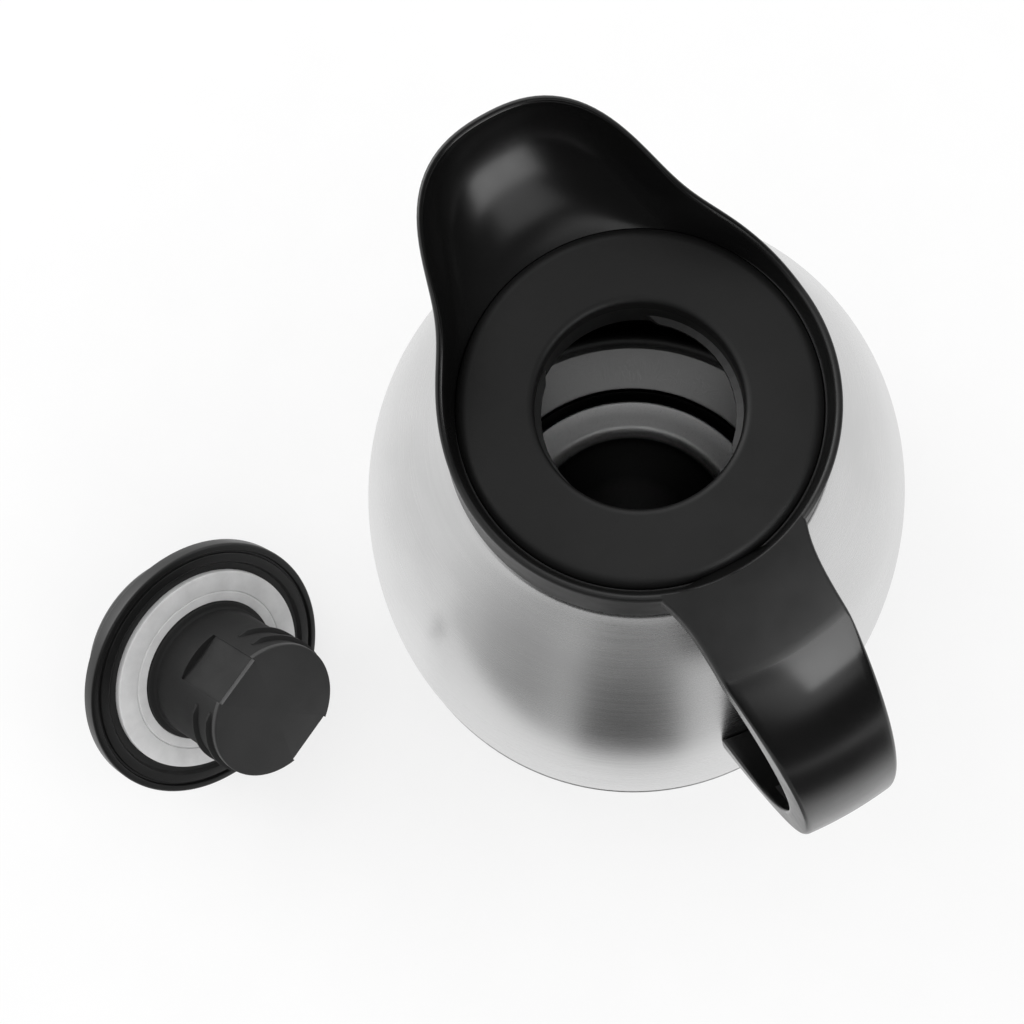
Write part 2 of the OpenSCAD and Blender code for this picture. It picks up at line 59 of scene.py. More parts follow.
def rounded(points, n=5):
    """Polygon from (x, z, radius) corners, each corner with a radius turned into a small arc."""
    out = []
    for i, (x, z, r) in enumerate(points):
        p = Vector((x, z))
        if r <= 0:
            out.append((x, z))
            continue
        a = Vector(points[i - 1][:2]) - p
        b = Vector(points[(i + 1) % len(points)][:2]) - p
        half = a.angle(b) / 2
        cut = min(r / math.tan(half), a.length * 0.48, b.length * 0.48)
        r = cut * math.tan(half)
        mid = p + (a.normalized() + b.normalized()).normalized() * (r / math.sin(half))
        s, e = p + a.normalized() * cut - mid, p + b.normalized() * cut - mid
        turn = s.angle_signed(e)
        for k in range(n + 1):
            w = -turn * k / n
            out.append((mid.x + s.x * math.cos(w) - s.y * math.sin(w),
                        mid.y + s.x * math.sin(w) + s.y * math.cos(w)))
    return out


def beside(pts, t):
    """Line beside a profile, t to its left."""
    out = []
    for i, p in enumerate(pts):
        a = Vector(pts[max(i - 1, 0)])
        b = Vector(pts[min(i + 1, len(pts) - 1)])
        d = (b - a).normalized()
        out.append((max(0.0, p[0] - d.y * t), p[1] + d.x * t))
    return out


def add_object(name, verts, faces, material, sharp=35, place=None):
    """New piece from vertices in millimetres."""
    mesh = bpy.data.meshes.new(name)
    mesh.from_pydata([tuple(c * MM for c in v) for v in verts], [], faces)
    obj = bpy.data.objects.new(name, mesh)
    bpy.context.scene.collection.objects.link(obj)
    finish_mesh(obj, sharp, place)
    mesh.materials.append(material)
    return obj


def finish_mesh(obj, sharp=35, place=None):
    """Merges doubles, turns the faces outward, lays the mesh in place and marks its sharp edges."""
    bm = bmesh.new()
    bm.from_mesh(obj.data)
    bmesh.ops.remove_doubles(bm, verts=bm.verts, dist=1e-6)
    bmesh.ops.dissolve_degenerate(bm, edges=bm.edges, dist=1e-7)
    bmesh.ops.recalc_face_normals(bm, faces=bm.faces)
    if place is not None:
        bmesh.ops.transform(bm, matrix=place, verts=bm.verts)
    bm.to_mesh(obj.data)
    bm.free()
    obj.data.polygons.foreach_set("use_smooth", [True] * len(obj.data.polygons))
    obj.data.set_sharp_from_angle(angle=math.radians(sharp))
    obj.data.update()


def revolve(name, loop, material, steps=160, sharp=35, place=None):
    """Closed profile turned round Z."""
    n = len(loop)
    verts, faces = [], []
    for i in range(steps):
        a = 2 * math.pi * i / steps
        verts += [(r * math.cos(a), r * math.sin(a), z) for r, z in loop]
    for i in range(steps):
        j = (i + 1) % steps
        for k in range(n):
            m = (k + 1) % n
            if loop[k][0] < 1e-6 and loop[m][0] < 1e-6:
                continue
            faces.append((i * n + k, j * n + k, j * n + m, i * n + m))
    return add_object(name, verts, faces, material, sharp, place)


# Materials
class Mat:
    """Small helper that keeps one Principled material's node graph tidy."""

    def __init__(self, name, **sockets):
        self.mat = bpy.data.materials.new(name)
        self.mat.use_nodes = True
        self.tree = self.mat.node_tree
        self.bsdf = self.tree.nodes["Principled BSDF"]
        for key, value in sockets.items():
            self.bsdf.inputs[key.replace("_", " ")].default_value = value

    def node(self, kind, **props):
        n = self.tree.nodes.new(kind)
        for key, value in props.items():
            setattr(n, key, value)
        return n

    def link(self, a, b):
        self.tree.links.new(a, b)

    def coords(self):
        return self.node("ShaderNodeTexCoord").outputs["Object"]

    def xyz(self):
        """X, Y and Z of the place on the object."""
        sep = self.node("ShaderNodeSeparateXYZ")
        self.link(self.coords(), sep.inputs[0])
        return sep.outputs["X"], sep.outputs["Y"], sep.outputs["Z"]

    def distance(self, x, y):
        """Distance from the Z axis."""
        return self.math("SQRT", self.math("ADD", self.math("MULTIPLY", x, x),
                                           self.math("MULTIPLY", y, y)))

    def noise(self, vector, scale, detail=3.0, rough=0.55):
        n = self.node("ShaderNodeTexNoise")
        n.inputs["Scale"].default_value = scale
        n.inputs["Detail"].default_value = detail
        n.inputs["Roughness"].default_value = rough
        self.link(vector, n.inputs["Vector"])
        return n.outputs["Fac"]

    def ramp(self, fac, stops, mode="LINEAR"):
        r = self.node("ShaderNodeValToRGB")
        fill_ramp(r, stops, mode)
        self.link(fac, r.inputs["Fac"])
        return r.outputs["Color"]

    def map(self, value, a, b, lo, hi, kind="LINEAR"):
        m = self.node("ShaderNodeMapRange", interpolation_type=kind)
        for key, v in zip(("From Min", "From Max", "To Min", "To Max"), (a, b, lo, hi)):
            m.inputs[key].default_value = v
        self.link(value, m.inputs["Value"])
        return m.outputs["Result"]

    def mix(self, fac, a, b, blend="MIX"):
        m = self.node("ShaderNodeMix", data_type="RGBA", blend_type=blend)
        if hasattr(fac, "links"):
            self.link(fac, m.inputs[0])
        else:
            m.inputs[0].default_value = fac
        self.link(a, m.inputs[6])
        self.link(b, m.inputs[7])
        return m.outputs[2]

    def math(self, op, a, b=None):
        m = self.node("ShaderNodeMath", operation=op)
        for sock, v in zip(m.inputs, (a, b)):
            if v is None:
                continue
            if hasattr(v, "links"):
                self.link(v, sock)
            else:
                sock.default_value = v
        return m.outputs[0]

    def bump(self, height, strength, distance):
        b = self.node("ShaderNodeBump")
        b.inputs["Strength"].default_value = strength
        b.inputs["Distance"].default_value = distance
        self.link(height, b.inputs["Height"])
        self.link(b.outputs["Normal"], self.bsdf.inputs["Normal"])


def grey(v):
    return (v, v, v, 1.0)


def fill_ramp(node, stops, mode="LINEAR"):
    """Colour stops of greys, given as (position, value)."""
    node.color_ramp.interpolation = mode
    e = node.color_ramp.elements
    e.remove(e[-1])
    e[0].position, e[0].color = stops[0][0], grey(stops[0][1])
    for pos, value in stops[1:]:
        e.new(pos).color = grey(value)


GRAIN_DEPTH = 0.00006


def plastic(name, base, rough, grain, grain_size=0.35, spread=0.25, specular=0.5):
    """Moulded black plastic: faint cloudiness, roughness that varies, moulded grain."""
    m = Mat(name)
    m.bsdf.inputs["Specular IOR Level"].default_value = specular
    v = m.coords()
    cloud = m.noise(v, 28.0, 4.0)
    lo, hi = base * (1 - spread), base * (1 + spread)
    m.link(m.ramp(cloud, [(0.3, lo), (0.7, hi)]), m.bsdf.inputs["Base Color"])
    wear = m.noise(v, 90.0, 5.0, 0.65)
    m.link(m.map(wear, 0.3, 0.7, rough * 0.88, rough * 1.12), m.bsdf.inputs["Roughness"])
    m.bump(m.noise(v, 1000.0 / grain_size, 2.0, 0.6), grain, GRAIN_DEPTH)
    return m.mat


def two_finish(name, shiny, matte, measure, a, b, grain=0.06):
    """Black plastic that goes from a shiny to a matte finish; each finish is (colour, roughness).
    The change runs from a to b metres along X, or in the distance from the axis."""
    m = Mat(name)
    v = m.coords()
    x, y, _ = m.xyz()
    change = m.map(m.distance(x, y) if measure == "radius" else x, a, b, 0.0, 1.0)
    cloud = m.noise(v, 28.0, 4.0)
    tones = [m.ramp(cloud, [(0.3, c * 0.78), (0.7, c * 1.22)]) for c, _ in (shiny, matte)]
    m.link(m.mix(change, *tones), m.bsdf.inputs["Base Color"])
    wear = m.noise(v, 90.0, 5.0, 0.65)
    roughs = [m.ramp(wear, [(0.3, r * 0.88), (0.7, r * 1.12)]) for _, r in (shiny, matte)]
    m.link(m.mix(change, *roughs), m.bsdf.inputs["Roughness"])
    m.bump(m.noise(v, 2850.0, 2.0, 0.6), grain, GRAIN_DEPTH)
    return m.mat


def steel(name, base, rough, brushed, anisotropic=0.0, streak=0.12):
    """Satin steel with fine lines that run round the piece."""
    m = Mat(name, Metallic=1.0)
    x, y, z = m.xyz()
    comb = m.node("ShaderNodeCombineXYZ")
    m.link(m.math("MULTIPLY", m.math("ARCTAN2", y, x), 0.9), comb.inputs["X"])
    m.link(m.math("MULTIPLY", z, 1900.0), comb.inputs["Y"])
    lines = m.noise(comb.outputs[0], 1.0, 3.0, 0.6)
    smudge = m.noise(m.coords(), 14.0, 4.0, 0.6)
    tone = m.ramp(smudge, [(0.32, base * (1 - streak)), (0.7, base * (1 + streak * 0.5))])
    m.link(m.mix(0.12, tone, m.ramp(lines, [(0.3, base * 0.7), (0.7, base * 1.15)])),
           m.bsdf.inputs["Base Color"])
    m.link(m.map(m.math("ADD", lines, smudge), 0.7, 1.3, rough * 0.8, rough * 1.2),
           m.bsdf.inputs["Roughness"])
    m.bump(lines, brushed, 0.00003)
    if anisotropic > 0:
        tan = m.node("ShaderNodeTangent", direction_type="RADIAL", axis="Z")
        m.link(tan.outputs["Tangent"], m.bsdf.inputs["Tangent"])
        m.bsdf.inputs["Anisotropic"].default_value = anisotropic
    return m.mat


def rubber(name, base, rough=0.5, grain=0.25, specular=0.4):
    """Mottled rubber, silicone or foam with a fine grain."""
    m = Mat(name)
    m.bsdf.inputs["Specular IOR Level"].default_value = specular
    v = m.coords()
    mott = m.noise(v, 120.0, 5.0, 0.6)
    m.link(m.ramp(mott, [(0.3, base * 0.9), (0.7, base * 1.08)]), m.bsdf.inputs["Base Color"])
    m.link(m.map(mott, 0.3, 0.7, rough * 0.9, rough * 1.1), m.bsdf.inputs["Roughness"])
    m.bump(m.noise(v, 2200.0, 2.0), grain, 0.00005)
    return m.mat


STEEL = steel("steel_satin_mat", 0.60, 0.26, 0.10, 0.4)
PLATE = steel("steel_plate_mat", 0.60, 0.30, 0.12)
SCREW = steel("steel_screw_mat", 0.62, 0.28, 0.15)
FOIL = steel("foil_mat", 0.78, 0.22, 0.3)
GETTER = steel("getter_mat", 0.25, 0.6, 0.5)
COLLAR = two_finish("collar_black_mat", (0.0045, 0.22), (0.0062, 0.44), "x", -0.022, 0.004, 0.04)
SEAT = plastic("seat_black_mat", 0.0062, 0.50, 0.35, 0.45, specular=0.36)
HANDLE = two_finish("handle_black_mat", (0.006, 0.24), (0.0045, 0.40), "radius", 0.0606, 0.0598)
LINER = plastic("liner_black_mat", 0.018, 0.5, 0.3)
STOPPER = plastic("stopper_black_mat", 0.0075, 0.36, 0.05)
PLUG = plastic("plug_black_mat", 0.016, 0.55, 0.3, 0.35, specular=0.22)
END = plastic("end_black_mat", 0.030, 0.5, 0.4, 0.35)
SILICONE = rubber("seal_silicone_mat", 0.74, 0.42, 0.12)
BLACK_SEAL = rubber("seal_black_mat", 0.02, 0.55)
PAD = rubber("pad_black_mat", 0.025, 0.7, 0.5)
FOAM = rubber("foam_mat", 0.75, 0.8, 0.6)

# Sizes shared with the CAD part
SHOULDER_Z, NECK_R, NECK_Z, LIP_Z = 190.0, 30.0, 193.5, 199.2
SHELL_Z, FOOT, SHEET, VACUUM = 5.6, 1.6, 0.8, 8.0
SEAT_Z, DECK_Z, RIM_Z = 203.0, 208.0, 211.0
INSET = SHEET * 2 + VACUUM


def body_r(z):
    t = z / SHOULDER_Z
    return 77.2 - 21.6 * t ** 2 - 12.6 * t ** 8


def side(z0, z1, inset, n, skip=False):
    return [(body_r(z0 + (z1 - z0) * i / n) - inset, z0 + (z1 - z0) * i / n)
            for i in range(1 if skip else 0, n + 1)]


# Outer shell: foot roll, bell side, shoulder, neck
top_r = body_r(SHOULDER_Z)
outer = arc(body_r(SHELL_Z + FOOT) - FOOT, SHELL_Z + FOOT, FOOT, FOOT, -80, 0, 6)
outer += side(SHELL_Z + FOOT, SHOULDER_Z, 0, 72, True)
outer += bez((top_r, SHOULDER_Z), (top_r - 1.4, SHOULDER_Z + 1.9), (NECK_R + 7, NECK_Z),
             (NECK_R, NECK_Z), 12, True)
outer.append((NECK_R, LIP_Z))
shell = revolve("jug_body", outer + beside(outer, SHEET)[::-1], STEEL, 200, 50)
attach(shell, "carafe")
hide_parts("outer_shell")

# Inside of the vessel
EYE_R, GROOVE_R, GROOVE_W, GROOVE_H, FLOOR_Z = 33.5, 43.5, 3.6, 1.2, 14.0


def eye_z(r):
    return FLOOR_Z + r * r / 230


def dish_z(r):
    return eye_z(EYE_R) + (r * r - EYE_R * EYE_R) / 400


def inside_steel():
    """Steel inside the vessel: painted shade on the side wall, middle and groove, painted highlight
    on the two pressed ring bands and faintly at the centre.
    """
    m = Mat("steel_inside_painted_light_mat", Metallic=1.0)
    x, y, _ = m.xyz()
    radius = m.map(m.distance(x, y), 0.0, 0.08, 0.0, 1.0)
    # painted light by the distance from the axis: bright pressed ring bands, a black groove between
    # them, a dark middle and side wall
    painted_light_rings = m.ramp(radius, [(0.0, 0.16), (0.12, 0.10), (0.26, 0.025), (0.40, 0.02),
                            (0.415, 0.9), (0.545, 0.9), (0.55, 0.02), (0.585, 0.02),
                            (0.59, 0.38), (0.74, 0.32), (0.76, 0.05)])
    grain = m.noise(m.coords(), 5200.0, 2.0, 0.7)
    speckled = m.mix(1.0, painted_light_rings, m.ramp(grain, [(0.3, 0.6), (0.7, 1.0)]), "MULTIPLY")
    m.link(m.mix(0.35, painted_light_rings, speckled), m.bsdf.inputs["Base Color"])
    m.link(m.map(grain, 0.3, 0.7, 0.26, 0.36), m.bsdf.inputs["Roughness"])
    m.bump(grain, 0.05, 0.00001)
    return m.mat


INSIDE = inside_steel()
edge_r = body_r(FLOOR_Z + 8) - INSET - 8
groove_out = GROOVE_R + GROOVE_W
floor = [(EYE_R * i / 10, eye_z(EYE_R * i / 10)) for i in range(11)]
floor += [(EYE_R + 0.5, eye_z(EYE_R) + 0.35)]
floor += [(r, dish_z(r) + 0.35 * max(0, 1 - (r - EYE_R) / 8)) for r in (36, 39, 42)]
floor += rounded([(42.6, dish_z(42.6), 0), (GROOVE_R, dish_z(GROOVE_R), 0.4),
                  (GROOVE_R + 0.3, dish_z(GROOVE_R) - GROOVE_H, 0.3),
                  (groove_out - 0.3, dish_z(GROOVE_R) - GROOVE_H, 0.3),
                  (groove_out, dish_z(groove_out), 0.4), (48.2, dish_z(48.2), 0)], 4)
floor += [(r, dish_z(r)) for r in (50, 53, 56, edge_r)]
pan = revolve("vessel_floor_pan", floor + beside(floor, -SHEET)[::-1], INSIDE, 160, 40)
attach(pan, "carafe")
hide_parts("vessel_floor")

inner_top, inner_neck = SHOULDER_Z - VACUUM, NECK_R - SHEET * 2 - 2
wall = [(edge_r, dish_z(edge_r))]
wall += arc(edge_r, dish_z(edge_r) + 8, 8, 8, -84, -6, 12)
wall += side(dish_z(edge_r) + 9, inner_top - 12, INSET, 40)
wall += bez((body_r(inner_top - 6) - INSET, inner_top - 6),
            (body_r(inner_top - 6) - INSET - 8, inner_top + 4),
            (inner_neck, inner_top + 1), (inner_neck, inner_top + 9), 16)
wall += [(inner_neck, LIP_Z + SHEET), (NECK_R, LIP_Z + SHEET)]
vessel = revolve("vessel_wall", wall + beside(wall, -SHEET)[::-1], INSIDE, 160, 50)
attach(vessel, "carafe")
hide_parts("inner_vessel")

# Collar with the spout
COLLAR_R, LIP_REACH, LIP_SPREAD = 41.8, 22.0, 31.0
SPOUT_RISE, SPOUT_REACH, LIP_T = 19.0, 85.0, 1.7
SKIRT_R, SKIRT_T, SKIRT_Z, POCKET_R = 42.4, 1.9, SHOULDER_Z + 1, 38.7


def rim_plan(a):
    """Plan radius of the rim, a radians of turn from the spout's tip."""
    return COLLAR_R + LIP_REACH * math.exp(-(abs(math.degrees(a)) / LIP_SPREAD) ** 3)


def rise(a):
    """How far the rim has climbed to the spout: 1 at its tip, 0 beyond SPOUT_REACH degrees."""
    d = math.degrees(abs(a))
    if d >= SPOUT_REACH:
        return 0.0
    return (0.5 + 0.5 * math.cos(math.radians(180 * d / SPOUT_REACH))) ** 0.75


def collar_section(a):
    """Closed profile: hub and web, skirt, outer wall, rim, then the basin back down to the seat."""
    plan, top, k = rim_plan(a), RIM_Z + SPOUT_RISE * rise(a), 0.35 * rise(a)
    pts = [(NECK_R + 0.2, SEAT_Z), (NECK_R + 0.2, NECK_Z + 1), (NECK_R + 4, NECK_Z + 1),
           (NECK_R + 4, SEAT_Z - 3.4), (SKIRT_R - SKIRT_T - 0.4, SEAT_Z - 3.4),
           (SKIRT_R - SKIRT_T, SKIRT_Z + 1.3), (SKIRT_R - 0.5, SKIRT_Z + 0.1),
           (SKIRT_R, SKIRT_Z + 0.6)]
    for i in range(1, 17):
        t = i / 16
        pts.append((SKIRT_R + (plan - SKIRT_R) * (t + 0.15 * math.sin(math.pi * t)),
                    SKIRT_Z + 0.6 + (top - 1.5 - SKIRT_Z) * t))
    pts += arc(plan - 0.85, top - 0.9, 0.85, 0.9, 0, 180, 10)[1:]
    r0, z0, r1, z1 = plan - LIP_T - 0.02, top - 1.1, POCKET_R, DECK_Z - 1.9
    for i in range(0, 25):
        u = i / 24
        w = (1 - k) * math.cos(math.pi / 2 * u) + k * (1 - u)
        h = (1 - k) * (1 - math.sin(math.pi / 2 * u)) + k * (1 - u)
        pts.append((r1 + (r0 - r1) * w, z1 + (z0 - z1) * h))
    pts.append((POCKET_R, SEAT_Z))
    return pts


def ring_grid(name, section, steps, material, sharp):
    """Section that changes with the turn from -X, carried round Z."""
    verts, faces = [], []
    for i in range(steps):
        turn = 2 * math.pi * i / steps
        a = turn - 2 * math.pi if turn > math.pi else turn
        verts += [(-r * math.cos(turn), -r * math.sin(turn), z) for r, z in section(a)]
    m = len(verts) // steps
    for i in range(steps):
        for k in range(m):
            p, q = i * m + k, i * m + (k + 1) % m
            r, s = ((i + 1) % steps) * m + k, ((i + 1) % steps) * m + (k + 1) % m
            faces.append((p, r, s, q))
    return add_object(name, verts, faces, material, sharp)


collar = ring_grid("collar_spout", collar_section, 240, COLLAR, 50)
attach(collar, "carafe")
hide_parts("collar")

# Seat round the mouth
seat_loop = [(22.0, SEAT_Z), (38.5, SEAT_Z), (38.5, DECK_Z - 2.2)]
seat_loop += arc(35.9, DECK_Z - 2.2, 2.6, 2.2, 0, 90, 12)[1:]
seat_loop += arc(23.6, DECK_Z - 1.4, 1.6, 1.4, 90, 180, 10)
seat = revolve("mouth_seat", seat_loop, SEAT, 200, 50)
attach(seat, "carafe")
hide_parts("seat")

# Strap handle
CREASE_R, REACH, REACH_Z, STRAP_T = 60.0, 96.6, 148.0, 6.8
HEEL_Z, HEEL_T, ROOT_T = 110.0, 12.0, 7.5
STRAP_W, STRAP_END_W, FLARE = 29.4, 22.0, 1.2
low, high = HEEL_Z - HEEL_T / 2, HEEL_Z + HEEL_T / 2


def heel_r(z):
    return body_r(z) + 0.3


top_in = COLLAR_R - LIP_T + 0.5
line_out = [(top_in + (CREASE_R - top_in) * i / 12, RIM_Z + 0.03) for i in range(13)]
line_out[-1] = (CREASE_R, RIM_Z)
line_out += bez((CREASE_R, RIM_Z), (CREASE_R + 20, RIM_Z - 4), (REACH, RIM_Z - 22),
                (REACH, REACH_Z), 44, True)
line_out += bez((REACH, REACH_Z), (REACH, REACH_Z - 20), (REACH - 12, low + 9),
                (heel_r(low), low), 34, True)
inside_r = REACH - STRAP_T
root_low = COLLAR_R + 0.35
line_in = [(root_low + (CREASE_R - 2 - root_low) * i / 12, RIM_Z - ROOT_T) for i in range(13)]
back = bez((heel_r(high), high), (heel_r(high) + 13, high + 3), (inside_r, REACH_Z - 23),
           (inside_r, REACH_Z), 34)
back += bez((inside_r, REACH_Z), (inside_r, RIM_Z - 32), (CREASE_R + 14, RIM_Z - 12),
            (CREASE_R - 2, RIM_Z - ROOT_T), 44, True)
line_in += back[::-1][1:]


def half_w(x):
    """Half of the strap's width at x: flared at the rim, tapered beyond the crease."""
    u = max(0.0, 1 - (x - COLLAR_R) / (CREASE_R - COLLAR_R))
    return FLARE * min(1.22, u) ** 3.8 + STRAP_W / 2 - (STRAP_W - STRAP_END_W) / 2 * max(
        0.0, (x - CREASE_R) / (REACH - CREASE_R))


def edge_y(r):
    """Y of the strap's edge at r from the axis, found by a few turns of the fixed point."""
    y = 13.0
    for _ in range(12):
        y = half_w(math.sqrt(max(r * r - y * y, 1.0)))
    return y


def handle_mesh(name, material):
    """Strap between its two side lines, bent round the axis, with rounded edges."""
    ROUND, CORNER, ACROSS, DEEP = 1.0, 6, 18, 8
    verts, faces, rows = [], [], []
    count = len(line_out)
    for i in range(count):
        o, n = Vector(line_out[i]), Vector(line_in[i])
        depth = (n - o).length
        rd = min(ROUND, depth * 0.3)

        def point(v, y_frac, pull):
            p = o + (n - o) * (v / depth)
            y = edge_y(p.x)
            return p, (y - pull) * y_frac

        row = []
        # outer face, left to right, then the right side, inner face and left side
        for j in range(ACROSS + 1):
            row.append(point(0.0, -1 + 2 * j / ACROSS, rd))
        for j in range(1, CORNER + 1):
            w = math.pi / 2 * j / CORNER
            row.append(point(rd - rd * math.cos(w), 1.0, rd - rd * math.sin(w)))
        for j in range(1, DEEP):
            row.append(point(rd + (depth - 2 * rd) * j / DEEP, 1.0, 0.0))
        for j in range(0, CORNER + 1):
            w = math.pi / 2 * j / CORNER
            row.append(point(depth - rd + rd * math.sin(w), 1.0, rd - rd * math.cos(w)))
        for j in range(1, ACROSS + 1):
            row.append(point(depth, 1 - 2 * j / ACROSS, rd))
        for j in range(1, CORNER + 1):
            w = math.pi / 2 * j / CORNER
            row.append(point(depth - rd + rd * math.cos(w), -1.0, rd - rd * math.sin(w)))
        for j in range(1, DEEP):
            row.append(point(depth - rd - (depth - 2 * rd) * j / DEEP, -1.0, 0.0))
        for j in range(0, CORNER):
            w = math.pi / 2 * j / CORNER
            row.append(point(rd - rd * math.sin(w), -1.0, rd - rd * math.cos(w)))
        for p, y in row:
            x = math.sqrt(max(p.x * p.x - y * y, 0.0))
            verts.append((x, y, p.y))
        rows.append(len(row))
    m = rows[0]
    for i in range(count - 1):
        for k in range(m):
            p, q = i * m + k, i * m + (k + 1) % m
            faces.append((p, q, q + m, p + m))
    faces.append(tuple(range(m))[::-1])
    faces.append(tuple((count - 1) * m + k for k in range(m)))
    return add_object(name, verts, faces, material, 40)


handle = handle_mesh("strap_handle", HANDLE)
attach(handle, "carafe")
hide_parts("handle")

# Stopper, upright, then laid down
FLANGE_R, FLANGE_T, PLUG_LEN, PLUG_R = 40.0, 4.5, 33.5, 20.4
KNOB_R, KNOB_H, KNOB_ROUND = 32.0, 14.0, 4.0
knob_c = Vector((KNOB_R - KNOB_ROUND, FLANGE_T + KNOB_H - KNOB_ROUND))
run = knob_c - Vector((FLANGE_R, FLANGE_T))
slope = math.atan2(-run.x, run.y) - math.asin(KNOB_ROUND / run.length)
LIE_X, LIE_Y, LIE_TURN = -27.1, -131.2, 30.6
LIE_Z = FLANGE_R * math.cos(slope) + FLANGE_T * math.sin(slope)
LAY = (Matrix.Translation(Vector((LIE_X, LIE_Y, LIE_Z)) * MM)
       @ Matrix.Rotation(math.radians(LIE_TURN), 4, "Z")
       @ Matrix.Rotation(math.pi / 2 - slope, 4, "Y"))
STEP_Z, SEAL_R, SEAL_IN = 1.2, 31.5, PLUG_R + 1.8
PLUG_TURN, CH_W, CH_LEN, CH_R = math.radians(-7.5), 15.5, 20.0, 17.8

flange = revolve("stopper_disc", rounded([
    (5.2, -FLANGE_T, 0), (FLANGE_R, -FLANGE_T, 0.5), (FLANGE_R, 0, 0.8), (38.0, 0, 0.25),
    (37.7, -0.9, 0.15), (37.1, -0.9, 0.15), (36.9, -0.15, 0.25), (34.3, -0.15, 0.3),
    (33.6, -STEP_Z, 0.3), (5.2, -STEP_Z, 0)], 5), STOPPER, 200, 40, LAY)
seal = revolve("stopper_gasket", rounded([
    (SEAL_IN, -STEP_Z, 0), (SEAL_R, -STEP_Z, 0), (SEAL_R, 0.7, 0.5), (25.5, 0.7, 0.15),
    (25.3, 0.4, 0.1), (25.0, 0.4, 0.1), (24.8, 0.62, 0.15), (SEAL_IN, 0.62, 0)], 4),
    SILICONE, 200, 40, LAY)


def boxes_cut(obj, from_z, to_z):
    """Cuts the two pouring channels out of obj, in the stopper's own frame."""
    for turn in (0, math.pi):
        mesh = bpy.data.meshes.new("cutter")
        c = []
        for x in (CH_R, CH_R + 12):
            for y in (-CH_W / 2, CH_W / 2):
                for z in (from_z, to_z):
                    c.append((x * MM, y * MM, z * MM))
        mesh.from_pydata(c, [], [(0, 1, 3, 2), (4, 6, 7, 5), (0, 4, 5, 1),
                                 (2, 3, 7, 6), (0, 2, 6, 4), (1, 5, 7, 3)])
        cutter = bpy.data.objects.new("cutter", mesh)
        bpy.context.scene.collection.objects.link(cutter)
        mesh.transform(Matrix.Rotation(turn + PLUG_TURN, 4, "Z"))
        mod = obj.modifiers.new("cut", "BOOLEAN")
        mod.operation, mod.solver, mod.object = "DIFFERENCE", "EXACT", cutter
        bake(obj)
        bpy.data.objects.remove(cutter)


def bake(obj):
    """Applies obj's modifiers to its mesh."""
    depsgraph = bpy.context.evaluated_depsgraph_get()
    new = bpy.data.meshes.new_from_object(obj.evaluated_get(depsgraph))
    obj.modifiers.clear()
    obj.data = new


def bevelled(obj, width):
    """Rounds the sharp edges of obj by width."""
    mod = obj.modifiers.new("edge", "BEVEL")
    mod.width, mod.segments, mod.limit_method = width * MM, 3, "ANGLE"
    mod.angle_limit = math.radians(30)
    mod.miter_outer = "MITER_ARC"
    bake(obj)


def ridge(root, crest, z_mid, start, lead=9.0, span=112.0, steps=56):
    """One screw ridge with tapered ends."""
    verts, faces = [], []
    for i in range(steps + 1):
        a = math.radians(start + span * i / steps)
        z = z_mid - lead * (i - steps / 2) * span / steps / 360
        f = min(1.0, 0.3 + 0.7 * min(i, steps - i) / 4)
        c = root + (crest - root) * f
        ring = [(root, z - 1.25), (c - 0.25, z - 0.62), (c, z - 0.4),
                (c, z + 0.4), (c - 0.25, z + 0.62), (root, z + 1.25)]
        verts += [(r * math.cos(a), r * math.sin(a), h) for r, h in ring]
    for i in range(steps):
        for k in range(6):
            p, q = i * 6 + k, i * 6 + (k + 1) % 6
            faces.append((p, q, q + 6, p + 6))
    faces += [tuple(range(6))[::-1], tuple(steps * 6 + k for k in range(6))]
    return verts, faces


PLUG_TOP = PLUG_LEN - 1.6
plug = revolve("stopper_plug_body", rounded([
    (2.2, -STEP_Z, 0), (SEAL_IN - 0.2, -STEP_Z, 0), (SEAL_IN - 0.2, 1.6, 0.5),
    (PLUG_R + 0.3, 2.0, 0.3), (PLUG_R - 0.3, 2.6, 0.3), (PLUG_R - 0.3, PLUG_TOP, 0.15),
    (16.0, PLUG_TOP, 0), (16.0, 1.4, 0), (2.2, 1.4, 0)], 4),
    PLUG, 128, 35)
boxes_cut(plug, PLUG_LEN - CH_LEN, PLUG_LEN + 2)
bevelled(plug, 0.22)
finish_mesh(plug, 35, LAY)
threads = []
for turn in (0, 180):
    for k in (0, 1):
        v, f = ridge(PLUG_R - 0.5, PLUG_R + 0.9, PLUG_TOP - 3.2 - k * 6.5, turn - 7.5 + 90 - 56)
        threads.append(add_object(f"stopper_thread_{turn // 180}{k}", v, f, PLUG, 35, LAY))

end = revolve("stopper_end_disc", rounded([
    (0, PLUG_TOP, 0), (PLUG_R, PLUG_TOP, 0.1), (PLUG_R, PLUG_LEN, 0.55), (0, PLUG_LEN, 0)], 5),
    END, 160, 35)
boxes_cut(end, PLUG_TOP - 1, PLUG_LEN + 2)
bevelled(end, 0.18)
finish_mesh(end, 35, LAY)

for obj in (flange, seal, plug, end, *threads):
    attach(obj, "stopper")
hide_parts("stopper_flange")
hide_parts("stopper_seal")
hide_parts("stopper_plug")
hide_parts("plug_end")

# Materials of the other CAD nodes
KEEP = {
    "base_pad": PAD, "base_plate": PLATE, "vacuum_port_seal": BLACK_SEAL, "jacket_bottom": PLATE,
    "getter": GETTER, "foil_wrap": FOIL, "neck_gasket": SILICONE, "thread_ring": STOPPER,
    "shoulder_seal": BLACK_SEAL, "handle_liner": LINER, "heel_bracket": SCREW, "heel_screw": SCREW,
    "plug_foam": FOAM, "stopper_knob": STOPPER, "knob_screw": SCREW, "knob_washer": SCREW,
}
for name, material in KEEP.items():
    mesh = nodes[name].data
    mesh.materials.clear()
    mesh.materials.append(material)

# Floor, light and camera

# Directions on the floor as the photograph shows them: RIGHT and UP of the picture.
RIGHT, UP = Vector((0.4924, 0.8703, 0)), Vector((-0.8703, 0.4924, 0))


